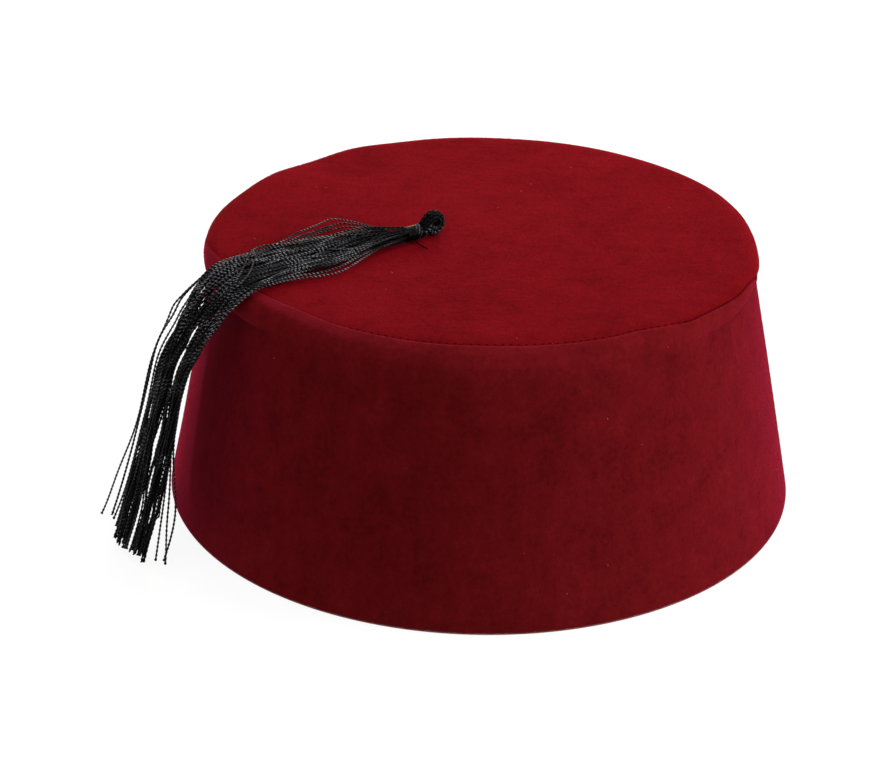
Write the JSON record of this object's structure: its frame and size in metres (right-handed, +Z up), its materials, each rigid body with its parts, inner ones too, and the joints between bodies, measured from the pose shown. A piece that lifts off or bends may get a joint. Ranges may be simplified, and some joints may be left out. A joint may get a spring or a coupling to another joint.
{
  "type": "fez hat with tassel",
  "caption": "Squat tapered felt fez: open side band, flat round top with a rolled edge, and a corded tassel draped over the rim.",
  "frame": {"origin": "centre of the head opening, on the plane of the hat's lower edge", "axes": "+Z up through the top disc, -Y to the hat's front, -X to the side over which the tassel hangs"},
  "size_m": [0.2045, 0.19, 0.0882],
  "materials": {
    "felt": "matt brushed felt with a short nap",
    "cord": "twisted silky cord with small highlights"
  },
  "bodies": {
    "root": {"crown_side": "felt", "crown_top": "felt", "tassel_loop": "cord", "tassel_binding": "cord", "tassel_skirt": "cord"}
  },
  "joints": []
}
